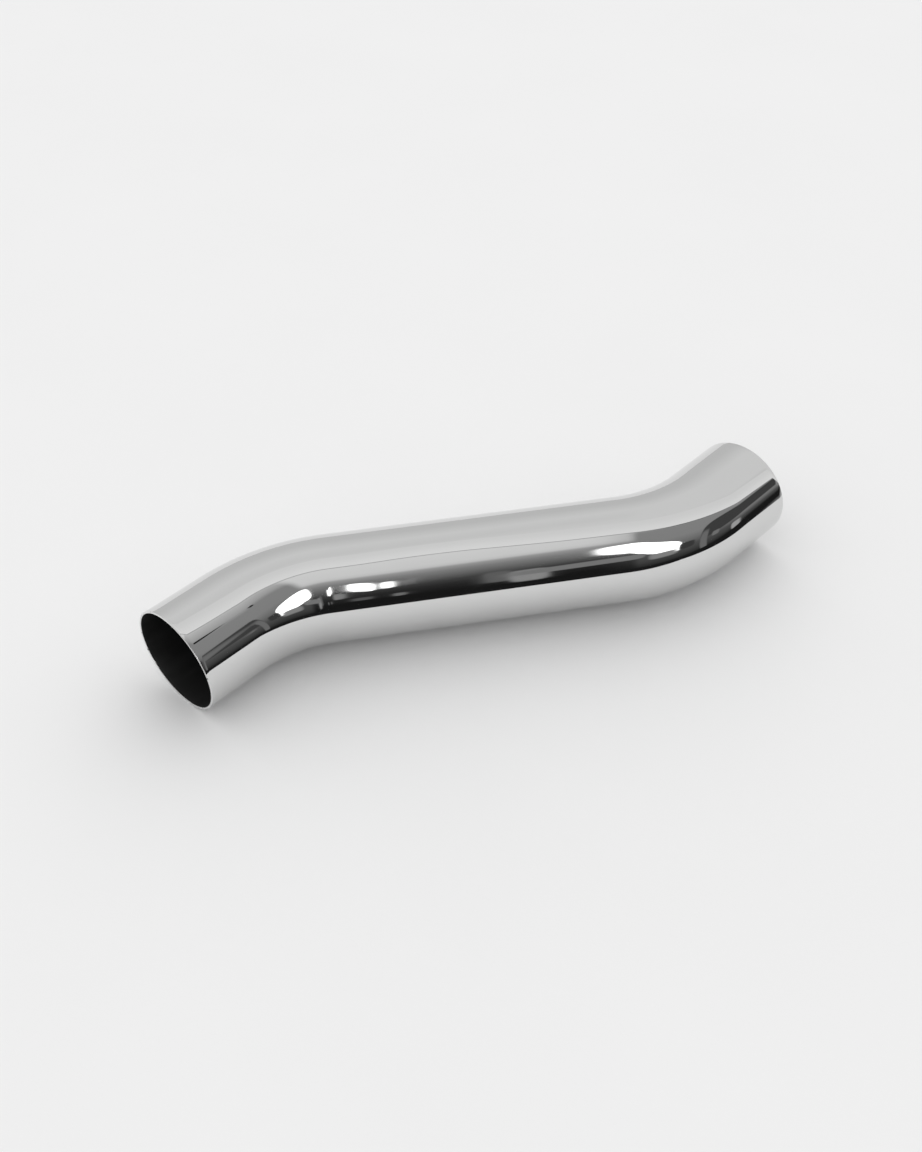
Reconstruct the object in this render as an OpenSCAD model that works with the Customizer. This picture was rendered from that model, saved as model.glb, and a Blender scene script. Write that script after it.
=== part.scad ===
// Offset exhaust pipe: one steel tube with two equal and opposite bends, so that its ends stay parallel.
// It lies flat on its side. The middle straight runs along X, and Z = 0 is the surface the tube rests on.
// Units are millimetres and degrees.

/* [Tube] */
// Outer diameter of the tube
tube_od = 63.5; // [30:0.5:120]
// Thickness of the tube wall
wall = 1.2; // [0.8:0.1:4]

/* [Bends] */
// Radius of each bend, measured to the centre line of the tube
bend_radius = 102; // [80:1:300]
// Angle through which each bend turns
bend_angle = 35; // [5:1:80]
// How far each face of the wall is drawn in round the bends, where bending thins it
bend_draw = 0.05; // [0.02:0.01:0.2]

/* [Straight lengths] */
// Straight length between the two bends
middle_length = 174; // [20:1:600]
// Straight length beyond the bend at the -X end
inlet_length = 38; // [10:1:300]
// Straight length beyond the bend at the +X end
outlet_length = 38; // [10:1:300]

/* [Ends] */
// Width of the small chamfer that breaks the sharp edges of each square-cut end
edge_break = 0.2; // [0.1:0.05:0.35]

/* [Hidden] */
$fn = 96;

outer_r = tube_od / 2;
bore_r = outer_r - wall;
// Extra turn at each end of a bend, hidden inside the wall of the straight that it joins
lap_angle = 0.1;
polished_steel = [0.78, 0.79, 0.80];

// Cross section of the tube wall, with both faces drawn in by the given amount
module wall_section(draw = 0) {
    difference() {
        circle(r = outer_r - draw);
        circle(r = bore_r + draw);
    }
}

// Middle straight, centred on the origin
module middle_straight() {
    rotate([0, 90, 0])
        linear_extrude(middle_length, center = true)
            wall_section();
}

// Bend from the +X end of the middle straight towards +Y. Both its ends run a little way into the straights.
module bend() {
    translate([middle_length / 2, bend_radius, 0])
        rotate_extrude(angle = bend_angle + 2 * lap_angle, start = -90 - lap_angle)
            translate([bend_radius, 0])
                wall_section(bend_draw);
}

// Straight leg that follows the bend. Its far end is cut square and has its edges broken.
module leg(length) {
    translate([
        middle_length / 2 + bend_radius * sin(bend_angle),
        bend_radius * (1 - cos(bend_angle)),
        0
    ])
        rotate([0, 90, bend_angle])
            rotate_extrude()
                polygon([
                    [bore_r, 0],
                    [outer_r, 0],
                    [outer_r, length - edge_break],
                    [outer_r - edge_break, length],
                    [bore_r + edge_break, length],
                    [bore_r, length - edge_break]
                ]);
}

module bent_pipe() {
    color(polished_steel)
        translate([0, 0, outer_r])
            union() {
                middle_straight();
                bend();
                leg(outlet_length);
                rotate([0, 0, 180]) {
                    bend();
                    leg(inlet_length);
                }
            }
}

bent_pipe();
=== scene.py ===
import math

import bpy
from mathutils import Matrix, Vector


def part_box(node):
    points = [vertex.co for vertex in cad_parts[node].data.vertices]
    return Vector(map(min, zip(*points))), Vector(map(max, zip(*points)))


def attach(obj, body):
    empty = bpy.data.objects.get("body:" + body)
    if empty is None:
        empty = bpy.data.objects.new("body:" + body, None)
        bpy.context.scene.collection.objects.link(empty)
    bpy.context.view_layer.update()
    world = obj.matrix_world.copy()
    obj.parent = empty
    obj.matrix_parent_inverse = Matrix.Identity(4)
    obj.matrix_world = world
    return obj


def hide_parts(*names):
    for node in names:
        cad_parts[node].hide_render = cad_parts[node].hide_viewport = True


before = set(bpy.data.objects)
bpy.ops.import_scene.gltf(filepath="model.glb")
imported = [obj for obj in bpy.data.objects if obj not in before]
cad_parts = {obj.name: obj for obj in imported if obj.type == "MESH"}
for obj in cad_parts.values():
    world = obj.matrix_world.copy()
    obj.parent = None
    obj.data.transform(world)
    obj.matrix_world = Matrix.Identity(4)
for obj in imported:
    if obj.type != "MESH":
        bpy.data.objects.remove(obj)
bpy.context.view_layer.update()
print("loaded the packed exhaust pipe")


class Wire:  # a node socket that does sums, in materials, the world and Geometry Nodes
    def __init__(self, tree, socket=None):
        self.tree = tree
        self.socket = socket

    def node(self, kind, settings=None, sockets=None, output=0):  # settings are set before values and links
        made = self.tree.nodes.new(kind)
        for name, value in (settings or {}).items():
            if name == "stops":
                setStops(made.color_ramp, value)
            else:
                setattr(made, name, value)
        for name, value in (sockets or {}).items():
            if isinstance(value, Wire):
                self.tree.links.new(value.socket, made.inputs[name])
            else:
                made.inputs[name].default_value = value
        return Wire(self.tree, made.outputs[output] if made.outputs else None)

    def out(self, name):  # another output of the same node
        return Wire(self.tree, self.socket.node.outputs[name])

    def sums(self, operation, *values):
        return self.node("ShaderNodeMath", {"operation": operation}, dict(enumerate(values)))

    def math(self, operation, *others):
        return self.sums(operation, self, *others)

    def __add__(self, other):
        return self.sums("ADD", self, other)

    def __radd__(self, other):
        return self.sums("ADD", other, self)

    def __sub__(self, other):
        return self.sums("SUBTRACT", self, other)

    def __rsub__(self, other):
        return self.sums("SUBTRACT", other, self)

    def __mul__(self, other):
        return self.sums("MULTIPLY", self, other)

    def __rmul__(self, other):
        return self.sums("MULTIPLY", other, self)

    def __truediv__(self, other):
        return self.sums("DIVIDE", self, other)

    def __rtruediv__(self, other):
        return self.sums("DIVIDE", other, self)

    def __neg__(self):
        return self.sums("MULTIPLY", self, -1.0)

    def least(self, other):
        return self.sums("MINIMUM", self, other)

    def most(self, other):
        return self.sums("MAXIMUM", self, other)

    def above(self, edge, soft):  # 0 below the edge, 1 above it, with a soft step
        spread = {0: self, 1: edge - soft, 2: edge + soft}
        return self.node("ShaderNodeMapRange", {"interpolation_type": "SMOOTHSTEP"}, spread)

    def pick(self, low, high):  # mixes two colours, with this wire as the factor
        mixed = {0: self, 6: low, 7: high}  # the factor, then the node's two colour sockets
        return self.node("ShaderNodeMix", {"data_type": "RGBA"}, mixed, output=2)


def setStops(ramp, stops):
    while len(ramp.elements) < len(stops):
        ramp.elements.new(0.5)
    for element, (place, level) in zip(ramp.elements, stops):
        element.position = place
        element.color = (level, level, level, 1)


def grey(level):
    return (level, level, level, 1)


def newMaterial(name):
    material = bpy.data.materials.new(name)
    material.use_nodes = True
    material.node_tree.nodes.clear()
    return material, Wire(material.node_tree)


def finishTree(start, shader, kind="ShaderNodeOutputMaterial"):
    start.node(kind, sockets={"Surface": shader})


# camera, fitted to the photograph
view = {
    "azimuth": 10.885,  # degrees from +Y towards +X
    "lookDown": 44.401,  # degrees below level
    "place": (-0.11519, -0.55134, 0.57728),
    "focalPixels": 1333.13,
    "imageHeight": 1152,
    "sensor": 36,
}


def makeCamera():
    lens = bpy.data.cameras.new("photoCamera")
    lens.sensor_width = view["sensor"]
    lens.lens = view["focalPixels"] * view["sensor"] / view["imageHeight"]
    lens.clip_start = 0.01
    camera = bpy.data.objects.new("photoCamera", lens)
    camera.location = view["place"]
    tip = math.radians(90 - view["lookDown"])
    camera.rotation_euler = (tip, 0, -math.radians(view["azimuth"]))
    bpy.context.scene.collection.objects.link(camera)
    bpy.context.scene.camera = camera


# the tube: one straight blank with a wall, then its two opposite bends
low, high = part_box("bent_pipe")
tube = {
    "Outer Radius": (high.z - low.z) / 2,
    "Wall": 0.0012,
    "Middle Length": 0.174,
    "Bend Radius": 0.102,
    "Bend Angle": math.radians(35),
    "Leg Length": 0.038,
    "Edge Round": 0.00025,
    "Edge Points": 4,
    "Ring Spacing": 0.0027,
    "Around": 192,
}


def addInputs(tree, sizes):
    kinds = {float: "NodeSocketFloat", int: "NodeSocketInt"}
    made = {}
    for name, size in sizes.items():
        made[name] = tree.interface.new_socket(name, in_out="INPUT", socket_type=kinds[type(size)])
    tree.interface.new_socket("Geometry", in_out="OUTPUT", socket_type="NodeSocketGeometry")
    return made


def tubeTree(finishes):
    tree = bpy.data.node_groups.new("bentTube", "GeometryNodeTree")
    inputs = addInputs(tree, tube)
    start = Wire(tree)
    given = start.node("NodeGroupInput")
    outer, wall = given.out("Outer Radius"), given.out("Wall")
    halfMiddle = given.out("Middle Length") / 2
    bendRadius, angle = given.out("Bend Radius"), given.out("Bend Angle")
    halfBlank = halfMiddle + bendRadius * angle + given.out("Leg Length")
    edge = given.out("Edge Round")

    # the wall's section, with rounded corners and its long sides cut into rings
    section = start.node("GeometryNodeCurvePrimitiveQuadrilateral", None,
                         {"Width": wall, "Height": halfBlank * 2})
    rounded = start.node("GeometryNodeFilletCurve", {"mode": "POLY"},
                         {"Curve": section, "Count": given.out("Edge Points"), "Radius": edge,
                          "Limit Radius": True})
    length = start.node("GeometryNodeSplineParameter").out("Length")
    following = start.node("GeometryNodeInputIndex") + 1
    nextLength = start.node("GeometryNodeFieldAtIndex", {"data_type": "FLOAT", "domain": "POINT"},
                            {"Index": following, "Value": length})
    whole = start.node("GeometryNodeSplineLength")
    gap = (nextLength - length).math("FLOORED_MODULO", whole)
    cuts = (gap / given.out("Ring Spacing")).math("FLOOR").most(0)
    ringed = start.node("GeometryNodeSubdivideCurve", None, {"Curve": rounded, "Cuts": cuts})

    # the blank: that section taken round a circle, its axis along Z
    circle = start.node("GeometryNodeCurvePrimitiveCircle", {"mode": "RADIUS"},
                        {"Resolution": given.out("Around"), "Radius": outer - wall / 2})
    blank = start.node("GeometryNodeCurveToMesh", None, {"Curve": circle, "Profile Curve": ringed})
    place = start.node("GeometryNodeInputPosition")
    kept = start.node("GeometryNodeStoreNamedAttribute", {"data_type": "FLOAT_VECTOR", "domain": "POINT"},
                      {"Geometry": blank, "Name": "blankPlace", "Value": place})

    # the bends: how far each ring has turned and run along the centre line
    parts = start.node("ShaderNodeSeparateXYZ", None, {0: place})
    along, up, side = parts.out("Z"), parts.out("X"), parts.out("Y")
    reach = along.math("ABSOLUTE")
    swept = (reach - halfMiddle).most(0)
    turn = (swept / bendRadius).least(angle)
    past = (swept - bendRadius * angle).most(0)
    run = reach.least(halfMiddle) + bendRadius * turn.math("SINE") + past * angle.math("COSINE")
    offset = bendRadius * (1 - turn.math("COSINE")) + past * angle.math("SINE")
    end = along.math("SIGN")
    bent = start.node("ShaderNodeCombineXYZ", None, {
        "X": end * run + side * turn.math("SINE"),
        "Y": end * offset - side * turn.math("COSINE"),
        "Z": up + outer,
    })
    shaped = start.node("GeometryNodeSetPosition", None, {"Geometry": kept, "Position": bent})

    # finishes: polished outside, bore with painted shade, cut rims
    blankPlace = start.node("GeometryNodeInputNamedAttribute", {"data_type": "FLOAT_VECTOR"},
                            {"Name": "blankPlace"})
    split = start.node("ShaderNodeSeparateXYZ", None, {0: blankPlace})
    radius = (split.out("X") * split.out("X") + split.out("Y") * split.out("Y")).math("SQRT")
    inBore = radius.math("LESS_THAN", outer - wall / 2)
    atRim = split.out("Z").math("ABSOLUTE").math("GREATER_THAN", halfBlank - edge)
    smooth = start.node("GeometryNodeSetShadeSmooth", None, {"Geometry": shaped})
    done = start.node("GeometryNodeRealizeInstances", None, {"Geometry": smooth})
    for finish, where in zip(finishes, (None, inBore, atRim)):
        chosen = {"Geometry": done, "Material": finish}
        if where:
            chosen["Selection"] = where
        done = start.node("GeometryNodeSetMaterial", None, chosen)
    start.node("NodeGroupOutput", None, {"Geometry": done})
    return tree, inputs


def makeTube(finishes):
    tree, inputs = tubeTree(finishes)
    base = bpy.data.objects.new("tubeMaker", bpy.data.meshes.new("tubeMaker"))
    bpy.context.scene.collection.objects.link(base)
    maker = base.modifiers.new("bentTube", "NODES")
    maker.node_group = tree
    for name, size in tube.items():
        maker[inputs[name].identifier] = size
    ready = base.evaluated_get(bpy.context.evaluated_depsgraph_get())
    mesh = bpy.data.meshes.new_from_object(ready)
    base.modifiers.remove(maker)
    bpy.data.objects.remove(base)
    mesh.name = "exhaustTube"
    piece = bpy.data.objects.new("exhaustTube", mesh)
    bpy.context.scene.collection.objects.link(piece)
    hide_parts("bent_pipe")
    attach(piece, "root")
    return piece


# the outside: mirror polish with faint draw lines, smears and waves
polish = {
    "colour": (0.700, 0.702, 0.698, 1),
    "smearLevel": 0.66,
    "smearTint": 0.5,
    "smearScale": 45.0,
    "smearEdge": (0.62, 0.12),  # where the noise turns to a smear, and how softly
    "roughness": 0.025,
    "smearRoughness": 0.03,
    "lineRoughness": 0.02,
    "lineStretch": (60, 60, 4),  # draw lines run along the blank, its Z
    "waveScale": 28.0,
    "waveHeight": 0.00002,
}


def polishedSteel():
    material, start = newMaterial("polishedSteel")
    place = start.node("ShaderNodeTexCoord").out("Object")
    blank = start.node("ShaderNodeAttribute", {"attribute_name": "blankPlace"}).out("Vector")
    drawn = start.node("ShaderNodeMapping", None, {"Vector": blank, "Scale": polish["lineStretch"]})
    drawLines = start.node("ShaderNodeTexNoise", None, {"Vector": drawn, "Scale": 6.0, "Detail": 3.0})
    waves = start.node("ShaderNodeTexNoise", None,
                       {"Vector": place, "Scale": polish["waveScale"], "Detail": 1.0})
    smear = start.node("ShaderNodeTexNoise", None,
                       {"Vector": place, "Scale": polish["smearScale"], "Detail": 5.0})
    smeared = smear.above(*polish["smearEdge"]) * polish["smearRoughness"]
    roughness = polish["roughness"] + smeared + drawLines * polish["lineRoughness"]
    bump = start.node("ShaderNodeBump", None,
                      {"Height": waves, "Distance": polish["waveHeight"], "Strength": 1.0})
    tint = (smear * polish["smearTint"]).pick(polish["colour"], grey(polish["smearLevel"]))
    shader = start.node("ShaderNodeBsdfPrincipled", None, {
        "Base Color": tint,
        "Metallic": 1.0,
        "Roughness": roughness,
        "Normal": bump,
    })
    finishTree(start, shader)
    return material


# the bore: dull steel with streaks along it, its colour kept near black as painted shade for the inside of
# the tube
bore = {
    # painted shade: these near-black levels stand in for the shade inside the tube
    "levels": (0.012, 0.035),
    "metallic": 0.4,
    "roughness": 0.35,
    "streakRoughness": 0.25,
    "streakStretch": (60, 60, 8),
    "streakHeight": 0.0001,
}


def paintedShadeBore():
    material, start = newMaterial("paintedShadeBore")
    blank = start.node("ShaderNodeAttribute", {"attribute_name": "blankPlace"}).out("Vector")
    drawn = start.node("ShaderNodeMapping", None, {"Vector": blank, "Scale": bore["streakStretch"]})
    streaks = start.node("ShaderNodeTexNoise", None, {"Vector": drawn, "Scale": 3.0, "Detail": 6.0})
    bump = start.node("ShaderNodeBump", None,
                      {"Height": streaks, "Distance": bore["streakHeight"], "Strength": 1.0})
    # painted shade: the bore's colour runs between two near-black levels, and the streaks are real drawing
    # marks
    darkest, palest = bore["levels"]
    shader = start.node("ShaderNodeBsdfPrincipled", None, {
        "Base Color": streaks.pick(grey(darkest), grey(palest)),
        "Metallic": bore["metallic"],
        "Roughness": bore["roughness"] + streaks * bore["streakRoughness"],
        "Normal": bump,
    })
    finishTree(start, shader)
    return material


# the cut rims: bright steel with small dark nicks
rim = {
    "level": 0.78,
    "nickLevel": 0.08,
    "nickScale": 260.0,
    "nickEdge": (0.68, 0.04),
    "nickDepth": 0.00005,
    "roughness": 0.22,
    "nickRoughness": 0.2,
}


def cutRim():
    material, start = newMaterial("cutRim")
    place = start.node("ShaderNodeTexCoord").out("Object")
    nicks = start.node("ShaderNodeTexNoise", None,
                       {"Vector": place, "Scale": rim["nickScale"], "Detail": 2.0})
    bump = start.node("ShaderNodeBump", None,
                      {"Height": nicks, "Distance": rim["nickDepth"], "Strength": 1.0})
    shader = start.node("ShaderNodeBsdfPrincipled", None, {
        "Base Color": nicks.above(*rim["nickEdge"]).pick(grey(rim["level"]), grey(rim["nickLevel"])),
        "Metallic": 1.0,
        "Roughness": rim["roughness"] + nicks * rim["nickRoughness"],
        "Normal": bump,
    })
    finishTree(start, shader)
    return material


# the studio: a pale sheet on the floor, pale behind and overhead, a dim front with bright panels
# rise is measured round the X axis: 0 is the front horizon, 90 overhead, 180 the back horizon
# lean is the part of a direction that points along X
room = {
    "seen": 0.870,  # what the camera sees past the floor
    "lightFromBack": 0.45,  # how far the soft light is raised behind the tube and lowered in front
    "lowest": -20,  # the rises between which the stops lie
    "highest": 200,
    "middleStops": [(-10, 0.011), (8, 0.012), (15, 0.020), (22, 0.032), (30, 0.065), (40, 0.17), (50, 0.28),
                    (57, 0.42), (61, 0.72), (66, 0.80), (90, 0.86), (118, 0.76), (135, 0.80), (160, 0.67),
                    (180, 0.64)],
    "sideStops": [(-10, 0.011), (0, 0.030), (10, 0.070), (22, 0.10), (35, 0.20), (50, 0.29), (73, 0.30),
                  (79, 0.45), (90, 0.60), (100, 0.80), (135, 0.80), (160, 0.67), (180, 0.64)],
    "sideStart": (0.27, 0.04),  # lean at which the room's middle gives way to its sides, and how softly
}
panels = {  # centre and half size as (lean, rise), how the centre climbs along lean, softness, brightness
    "mainPanel": {"centre": (0.430, 35.5), "half": (0.190, 12), "climb": -50, "soft": 0.25, "level": 4.0},
    "mainPanelFoot": {"centre": (0.490, 18), "half": (0.110, 6), "climb": 0, "soft": 0.9, "level": 0.30},
    "twinPanelWide": {"centre": (0.060, 38), "half": (0.010, 8), "climb": -300, "soft": 0.2, "level": 3.0},
    "twinPanelThin": {"centre": (0.080, 36), "half": (0.006, 6.5), "climb": 0, "soft": 0.3, "level": 2.0},
    "lowSpotLeft": {"centre": (0.060, 14), "half": (0.008, 3), "climb": 0, "soft": 0.8, "level": 0.12},
    "lowSpotRight": {"centre": (0.0885, 13.5), "half": (0.005, 3), "climb": 0, "soft": 0.8, "level": 0.22},
    "leftSpot": {"centre": (0.036, 25), "half": (0.012, 6), "climb": 0, "soft": 0.6, "level": 0.30},
    "postLeft": {"centre": (0.162, 22), "half": (0.012, 11), "climb": 0, "soft": 0.7, "level": 0.15},
    "postRight": {"centre": (0.185, 17), "half": (0.015, 12), "climb": 0, "soft": 0.6, "level": 0.34},
    "ledge": {"centre": (0.260, 24), "half": (0.090, 5), "climb": 20, "soft": 0.7, "level": 0.24},
    "sideBlock": {"centre": (0.860, 48), "half": (0.110, 19), "climb": 90, "soft": 0.2, "level": 0.062},
    "sideColumn": {"centre": (0.775, 18), "half": (0.022, 24), "climb": 0, "soft": 0.8, "level": 0.19},
    "sideGap": {"centre": (0.660, 24), "half": (0.055, 7), "climb": 0, "soft": 0.7, "level": 0.055},
    "sideSpot": {"centre": (0.845, 25), "half": (0.020, 6), "climb": 0, "soft": 0.8, "level": 0.22},
    "sideSlot": {"centre": (0.945, 10), "half": (0.018, 13), "climb": 0, "soft": 0.8, "level": 0.45},
    "darkMark": {"centre": (0.562, 75.3), "half": (0.018, 1.6), "climb": 0, "soft": 0.5, "level": 0.01},
}


def patch(lean, rise, panel):
    (x, y), (w, h) = panel["centre"], panel["half"]
    across = (lean - x) / w
    upward = (rise - y - (lean - x) * panel["climb"]) / h
    reach = across * across * across * across + upward * upward * upward * upward
    return 1 - reach.above(1.0, panel["soft"])


def toneByRise(start, rise, stops):
    span = room["highest"] - room["lowest"]
    placed = [((place - room["lowest"]) / span, level) for place, level in stops]
    return start.node("ShaderNodeValToRGB", {"stops": placed}, {0: (rise - room["lowest"]) / span})


def makeWorld():
    world = bpy.data.worlds.new("studio")
    bpy.context.scene.world = world
    world.use_nodes = True
    world.node_tree.nodes.clear()
    start = Wire(world.node_tree)
    aim = start.node("ShaderNodeTexCoord").out("Generated")
    axes = start.node("ShaderNodeSeparateXYZ", None, {0: aim})
    lean, back, up = axes.out("X"), axes.out("Y"), axes.out("Z")
    turned = up.math("ARCTAN2", -back).math("DEGREES")
    rise = turned + turned.math("LESS_THAN", -90.0) * 360  # its seam points straight down, under the floor
    side = lean.math("ABSOLUTE").above(*room["sideStart"])
    middleTone = toneByRise(start, rise, room["middleStops"])
    tone = side.pick(middleTone, toneByRise(start, rise, room["sideStops"]))
    for panel in panels.values():
        tone = patch(lean, rise, panel).pick(tone, grey(panel["level"]))
    path = start.node("ShaderNodeLightPath")
    soft = 1 + back * room["lightFromBack"]
    mirrored = path.out("Is Glossy Ray").pick(soft, tone)
    colour = path.out("Is Camera Ray").pick(mirrored, grey(room["seen"]))
    finishTree(start, start.node("ShaderNodeBackground", None, {0: colour}), "ShaderNodeOutputWorld")


# a pale card over the tube, which only the metal's reflections show
card = {
    "height": 0.300,
    "edge": [(-3.0, -0.030), (-0.060, -0.026), (-0.020, -0.018), (0.020, -0.022), (0.060, -0.040),
             (0.100, -0.057), (0.150, -0.067), (0.250, -0.076), (0.400, -0.074), (0.700, -0.047),
             (3.0, -0.047)],
    "steps": 8,  # points on the line for each of the edge's spans
    "rows": [-0.008, 0.0, 0.006, 0.110],  # how far behind the edge each row lies
    "hemLevels": (0.48, 0.22),  # the dim strip ahead of the edge, nearer -X and nearer +X
    "hemTurn": (0.18, 0.10),
    "levels": (1.0, 0.93, 0.84),  # at the edge, just behind it, and far behind it
    "firstStep": (0.004, 0.003),
    "lastStep": (0.05, 0.05),
    "hemStep": (-0.001, 0.001),
}


def smoothLine(points, steps):  # a smooth line through points that run along X
    line = []
    for i in range(len(points) - 1):
        (x0, y0), (x1, y1) = points[i], points[i + 1]
        before = points[max(i - 1, 0)]
        after = points[min(i + 2, len(points) - 1)]
        slopeIn = (y1 - before[1]) / (x1 - before[0])
        slopeOut = (after[1] - y0) / (after[0] - x0)
        for k in range(steps):
            t = k / steps
            span = x1 - x0
            y = ((1 + 2 * t) * (1 - t) ** 2 * y0 + t * (1 - t) ** 2 * span * slopeIn
                 + t * t * (3 - 2 * t) * y1 + t * t * (t - 1) * span * slopeOut)
            line.append((x0 + span * t, y))
    return line + [points[-1]]


def cardLight():
    material, start = newMaterial("overheadCard")
    behind = start.node("ShaderNodeAttribute", {"attribute_name": "behindEdge"}).out("Fac")
    axes = start.node("ShaderNodeSeparateXYZ", None, {0: start.node("ShaderNodeTexCoord").out("Object")})
    hemLeft, hemRight = card["hemLevels"]
    atEdge, near, far = card["levels"]
    hem = axes.out("X").above(*card["hemTurn"]).pick(grey(hemLeft), grey(hemRight))
    lit = behind.above(*card["firstStep"]).pick(grey(atEdge), grey(near))
    paled = behind.above(*card["lastStep"]).pick(lit, grey(far))
    colour = behind.above(*card["hemStep"]).pick(hem, paled)
    finishTree(start, start.node("ShaderNodeEmission", None, {0: colour}))
    return material


def makeCard():
    line = smoothLine(card["edge"], card["steps"])
    rows = card["rows"]
    points = [(x, y + row, card["height"]) for row in rows for x, y in line]
    n = len(line)
    faces = [(r * n + i, r * n + i + 1, (r + 1) * n + i + 1, (r + 1) * n + i)
             for r in range(len(rows) - 1) for i in range(n - 1)]
    mesh = bpy.data.meshes.new("overheadCard")
    mesh.from_pydata(points, [], faces)
    behind = mesh.attributes.new("behindEdge", "FLOAT", "POINT")
    behind.data.foreach_set("value", [row for row in rows for _ in line])
    mesh.materials.append(cardLight())
    sheet = bpy.data.objects.new("overheadCard", mesh)
    bpy.context.scene.collection.objects.link(sheet)
    sheet.visible_camera = False
    sheet.visible_diffuse = False
    sheet.visible_transmission = False
    sheet.visible_shadow = False


floor = {
    "reach": 6.0,
    "level": 0.87,
    "mottle": 0.012,
    "fibreHeight": 0.0001,
    "sheetFront": -0.33,  # where the pale sheet ends, as the metal sees it
    "sheetRight": 0.36,
    "edgeWander": 0.02,
    "edgeSoft": 0.004,
    "backSoft": 0.05,  # how softly the sheet's right end gives way at the line through the tube
    "pastSheet": 0.013,  # what the metal sees past the sheet
}


def floorPaper():
    material, start = newMaterial("floorPaper")
    place = start.node("ShaderNodeTexCoord").out("Object")
    mottle = start.node("ShaderNodeTexNoise", None, {"Vector": place, "Scale": 7.0, "Detail": 4.0})
    fibre = start.node("ShaderNodeTexNoise", None, {"Vector": place, "Scale": 900.0, "Detail": 2.0})
    colour = mottle.pick(grey(floor["level"] - floor["mottle"]), grey(floor["level"] + floor["mottle"]))
    bump = start.node("ShaderNodeBump", None,
                      {"Height": fibre, "Distance": floor["fibreHeight"], "Strength": 0.3})
    paper = start.node("ShaderNodeBsdfPrincipled", None, {
        "Base Color": colour,
        "Roughness": 0.9,
        "Specular IOR Level": 0.0,
        "Normal": bump,
    })
    axes = start.node("ShaderNodeSeparateXYZ", None, {0: place})
    wander = start.node("ShaderNodeTexNoise", None, {"Vector": place, "Scale": 30.0, "Detail": 2.0})
    front = axes.out("Y") + (wander - 0.5) * floor["edgeWander"]
    ahead = 1 - front.above(floor["sheetFront"], floor["edgeSoft"])
    inFront = 1 - axes.out("Y").above(0.0, floor["backSoft"])
    aside = axes.out("X").above(floor["sheetRight"], floor["edgeSoft"]) * inFront
    glossy = start.node("ShaderNodeLightPath").out("Is Glossy Ray")
    dim = start.node("ShaderNodeEmission", None, {0: grey(floor["pastSheet"])})
    shader = start.node("ShaderNodeMixShader", None, {0: ahead.most(aside) * glossy, 1: paper, 2: dim})
    finishTree(start, shader)
    return material


def makeFloor():
    r = floor["reach"]
    mesh = bpy.data.meshes.new("floor")
    mesh.from_pydata([(-r, -r, 0), (r, -r, 0), (r, r, 0), (-r, r, 0)], [], [(0, 1, 2, 3)])
    mesh.materials.append(floorPaper())
    ground = bpy.data.objects.new("floor", mesh)
    bpy.context.scene.collection.objects.link(ground)


makeCamera()
print("set the camera")
piece = makeTube((polishedSteel(), paintedShadeBore(), cutRim()))
print("made the tube with", len(piece.data.polygons), "faces")
makeWorld()
makeCard()
makeFloor()
print("set the studio")

bpy.context.scene.view_settings.view_transform = "Standard"
